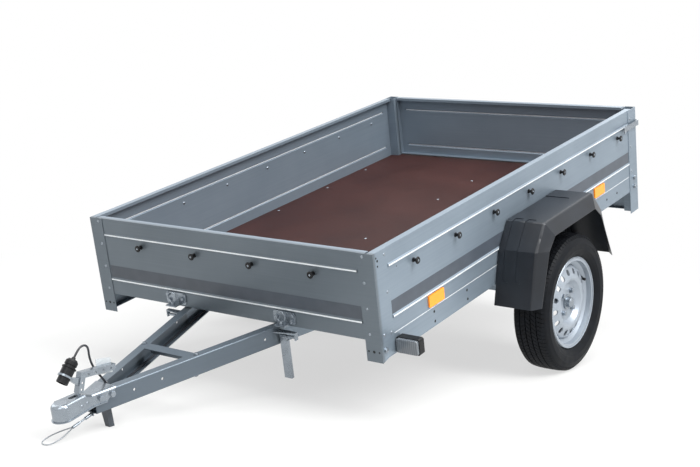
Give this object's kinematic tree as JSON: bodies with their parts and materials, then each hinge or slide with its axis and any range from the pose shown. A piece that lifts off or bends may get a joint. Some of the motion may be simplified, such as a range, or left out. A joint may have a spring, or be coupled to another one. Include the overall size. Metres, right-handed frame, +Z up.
{
  "type": "utility trailer",
  "caption": "Single-axle tipping utility trailer: folded sheet-steel box, drop tailgate, mudguards, V drawbar with ball coupling, front foot.",
  "frame": {"origin": "on the ground under the middle of the length, cords left out", "axes": "+X forward to the coupling, +Y to the left side, +Z up; the trailer stands parked, nose down on its foot"},
  "size_m": [2.8912, 1.664, 1.0008],
  "materials": {
    "galvanised_sheet": "hot-dip galvanised sheet, matt",
    "zinc_hardware": "bright zinc plate",
    "floor_film": "film-faced plywood, dark brown",
    "guard_plastic": "textured dark grey moulding",
    "tyre_rubber": "matt tyre rubber",
    "rim_silver": "silver powder coat",
    "amber_reflector": "glossy amber",
    "clear_lens": "clear lamp lens",
    "red_lens": "glossy red lamp lens",
    "black_plastic": "matt black plastic",
    "black_paint": "black painted steel",
    "pale_plate": "blank pale plate",
    "cable_rubber": "black cable sheath",
    "rope_steel": "stranded steel rope"
  },
  "bodies": {
    "drawbar": {"cable_clamp": "black_plastic", "coupling_body": "zinc_hardware", "coupling_handle": "zinc_hardware", "drawbar_arm_left": "galvanised_sheet", "drawbar_arm_right": "galvanised_sheet", "drawbar_crossbar": "galvanised_sheet", "handle_plate": "pale_plate", "nose_plate": "galvanised_sheet", "plug": "black_plastic", "plug_cable": "cable_rubber", "plug_holder": "zinc_hardware", "rope_anchor": "zinc_hardware", "rope_ferrules": "zinc_hardware", "safety_rope": "rope_steel", "support_foot": "black_paint", "tilt_lock_lever": "zinc_hardware", "tilt_lock_shelves": "zinc_hardware", "wiring_loom": "cable_rubber"},
    "load_box": {"axle_beam": "galvanised_sheet", "axle_saddles": "zinc_hardware", "cover_knobs": "black_plastic", "floor_board": "floor_film", "front_marker_bases": "black_plastic", "front_marker_lenses": "clear_lens", "front_panel": "galvanised_sheet", "front_post_left": "galvanised_sheet", "front_post_right": "galvanised_sheet", "hinge_bases": "zinc_hardware", "middle_cross_members": "galvanised_sheet", "mudguard_left": "guard_plastic", "mudguard_right": "guard_plastic", "pivot_cross_member": "galvanised_sheet", "rear_cross_member": "galvanised_sheet", "rear_lamp_bases": "black_plastic", "rear_lamp_lenses": "red_lens", "rear_post_left": "galvanised_sheet", "rear_post_right": "galvanised_sheet", "side_panel_left": "galvanised_sheet", "side_panel_right": "galvanised_sheet", "side_rail_left": "galvanised_sheet", "side_rail_right": "galvanised_sheet", "side_reflectors": "amber_reflector", "tilt_lock_brackets": "zinc_hardware", "tilt_lock_pins": "zinc_hardware", "torsion_arm_left": "galvanised_sheet", "torsion_arm_right": "galvanised_sheet"},
    "tailgate": {"hinge_straps": "zinc_hardware", "tailgate": "galvanised_sheet", "tailgate_knobs": "black_plastic", "tailgate_latch_left": "zinc_hardware", "tailgate_latch_right": "zinc_hardware"},
    "wheel_left": {"hub_left": "zinc_hardware", "rim_left": "rim_silver", "tyre_left": "tyre_rubber"},
    "wheel_right": {"hub_right": "zinc_hardware", "rim_right": "rim_silver", "tyre_right": "tyre_rubber"}
  },
  "joints": [
    {"name": "tilt", "type": "hinge", "parent": "drawbar", "child": "load_box", "pos_m": [-0.2029, 0, 0.41418], "axis": [0, -1, 0], "range_deg": [0, 22]},
    {"name": "wheel_left_spin", "type": "hinge", "parent": "load_box", "child": "wheel_left", "pos_m": [-0.45273, 0.7485, 0.268], "axis": [0, 1, 0], "continuous": true},
    {"name": "wheel_right_spin", "type": "hinge", "parent": "load_box", "child": "wheel_right", "pos_m": [-0.45273, -0.7485, 0.268], "axis": [0, 1, 0], "continuous": true},
    {"name": "tailgate_drop", "type": "hinge", "parent": "load_box", "child": "tailgate", "pos_m": [-1.38364, 0, 0.71637], "axis": [0, -1, 0], "range_deg": [0, 180]}
  ]
}
